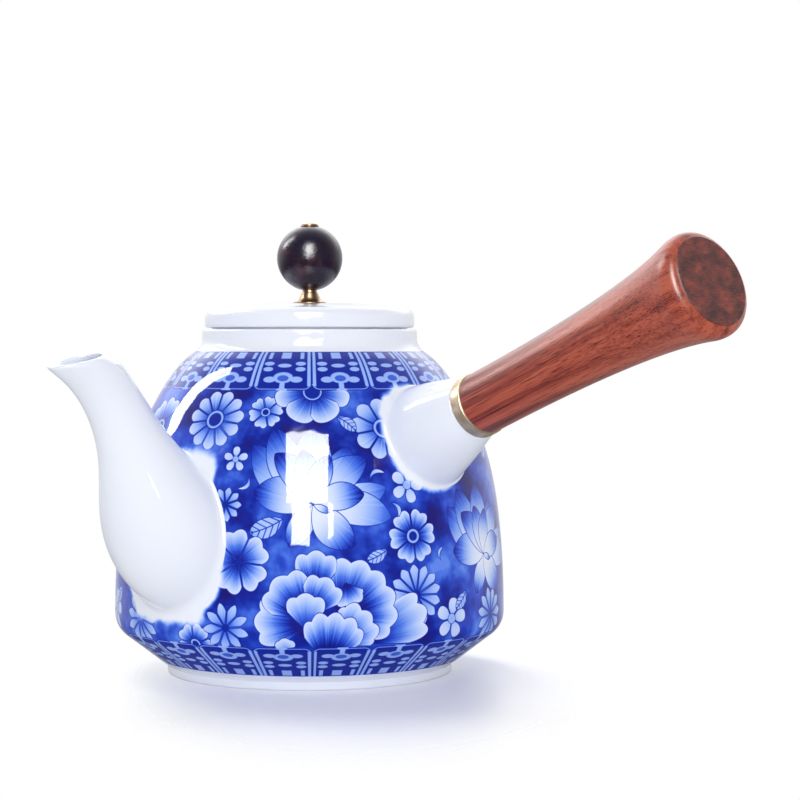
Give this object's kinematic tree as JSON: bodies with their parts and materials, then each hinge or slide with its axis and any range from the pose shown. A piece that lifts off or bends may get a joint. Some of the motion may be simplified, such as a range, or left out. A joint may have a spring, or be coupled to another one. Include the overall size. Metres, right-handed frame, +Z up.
{
  "type": "side-handle teapot",
  "caption": "Blue and white porcelain teapot with an S-shaped spout, a straight turned wooden side handle in a brass ferrule, and a lift-off lid with a wooden bead knob.",
  "frame": {"origin": "centre of the foot ring, on the surface the teapot stands on", "axes": "+Z up along the pot's axis, the spout points along -X, the handle points to about -Y, 85 degrees round from the spout"},
  "size_m": [0.1281, 0.1778, 0.1095],
  "materials": {
    "painted_porcelain": "glossy clear glaze over cobalt painting",
    "white_porcelain": "glossy clear glaze",
    "brass": "turned and lightly aged",
    "rosewood": "polished, oiled",
    "dark_wood": "polished",
    "silicone": "matt",
    "glue": "cured epoxy"
  },
  "bodies": {
    "pot": {"pot_body": "painted_porcelain", "spout": "white_porcelain", "spout_strainer": "white_porcelain", "handle_socket": "white_porcelain", "handle_ferrule": "brass", "handle": "rosewood", "handle_glue": "glue"},
    "knob": {"knob_base": "brass", "knob_bead": "dark_wood", "knob_cap": "brass", "knob_screw": "brass", "lid_seal": "silicone", "lid_washer": "brass", "lid_nut": "brass"},
    "lid": {"lid": "white_porcelain"}
  },
  "joints": [
    {"name": "lid_lift", "type": "slide", "parent": "pot", "child": "knob", "axis": [0, 0, 1], "range_m": [0, 0.1]},
    {"name": "lid_turn", "type": "hinge", "parent": "knob", "child": "lid", "pos_m": [0, 0, 0.0835], "axis": [0, 0, 1], "continuous": true}
  ]
}
